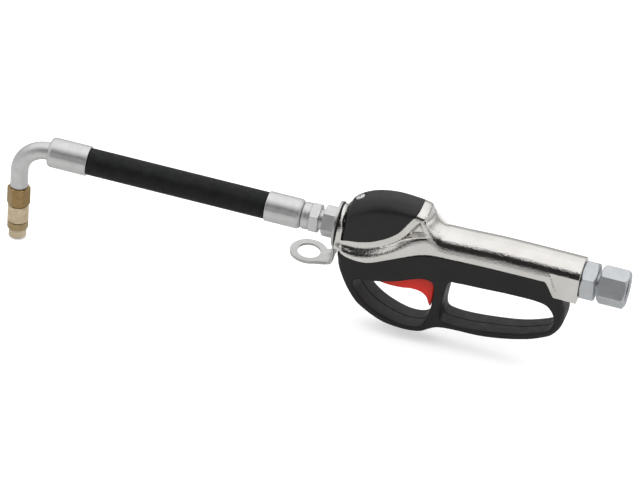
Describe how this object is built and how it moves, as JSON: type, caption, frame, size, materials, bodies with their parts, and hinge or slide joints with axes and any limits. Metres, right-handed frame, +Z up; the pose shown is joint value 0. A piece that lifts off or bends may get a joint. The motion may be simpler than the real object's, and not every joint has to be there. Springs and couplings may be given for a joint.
{
  "type": "oil control gun with hose extension",
  "caption": "Hand-held trigger gun for oil or fluid, with a swivel inlet, a hose extension, a bent outlet tube and a non-drip tip.",
  "frame": {"origin": "middle of the bounding box, at the lowest point of the outlet tip", "axes": "+X along the gun towards the inlet swivel, +Y across the gun, +Z up from the trigger side towards the top cover"},
  "size_m": [0.4963, 0.044, 0.1206],
  "materials": {
    "nickel": "bright nickel plating on a die casting, slightly rippled",
    "zinc": "bright zinc plating on turned or pressed steel",
    "steel": "plain",
    "brass": "turned",
    "black_plastic": "fine moulded grain, satin",
    "red_plastic": "satin",
    "hose_rubber": "fine cloth-wrapped surface",
    "seal_rubber": "smooth"
  },
  "bodies": {
    "gun": {"body_casting": "nickel", "top_cover": "black_plastic", "cover_screw": "steel", "guard": "black_plastic", "guard_screw_front": "steel", "guard_screw_rear": "steel", "trigger_pin": "steel", "valve_seat": "brass", "valve_spring": "steel", "valve_cap": "steel", "cap_oring": "seal_rubber", "stem_gland": "brass", "stem_oring": "seal_rubber", "inlet_adapter": "zinc", "swivel_clip": "steel", "swivel_oring": "seal_rubber", "hook_plate": "zinc", "plate_gasket": "seal_rubber", "outlet_adapter": "zinc", "hose_nut": "zinc", "hose_nipple": "steel", "rear_ferrule": "zinc", "hose": "hose_rubber"},
    "trigger": {"trigger": "red_plastic"},
    "valve": {"valve_stem": "steel", "poppet_seal": "seal_rubber"},
    "inlet_swivel": {"swivel_nut": "zinc"},
    "outlet": {"front_ferrule": "zinc", "elbow_tube": "zinc", "tip_hex": "brass", "tip_sleeve": "brass", "tip_nozzle": "brass", "tip_spring": "steel"},
    "tip_valve": {"tip_poppet": "brass", "tip_seal": "seal_rubber"}
  },
  "joints": [
    {"name": "trigger_pull", "type": "hinge", "parent": "gun", "child": "trigger", "pos_m": [0.04381, 0, 0.06298], "axis": [0, -1, 0], "range_deg": [0, 10]},
    {"name": "valve_lift", "type": "slide", "parent": "gun", "child": "valve", "axis": [0, 0, 1], "range_m": [0, 0.0032], "deforming": ["valve_spring"]},
    {"name": "inlet_turn", "type": "hinge", "parent": "gun", "child": "inlet_swivel", "pos_m": [0.23681, 0, 0.08758], "axis": [1, 0, 0], "continuous": true},
    {"name": "hose_bend", "type": "hinge", "parent": "gun", "child": "outlet", "pos_m": [-0.11319, 0, 0.08298], "axis": [0, 1, 0], "range_deg": [-20, 20], "deforming": ["hose"]},
    {"name": "tip_open", "type": "slide", "parent": "outlet", "child": "tip_valve", "axis": [0.0698, 0, -0.9976], "range_m": [0, 0.0018], "deforming": ["tip_spring"]}
  ],
  "couplings": [
    {"joint": "valve_lift", "follows": "trigger_pull", "m_per_rad": 0.0175}
  ]
}
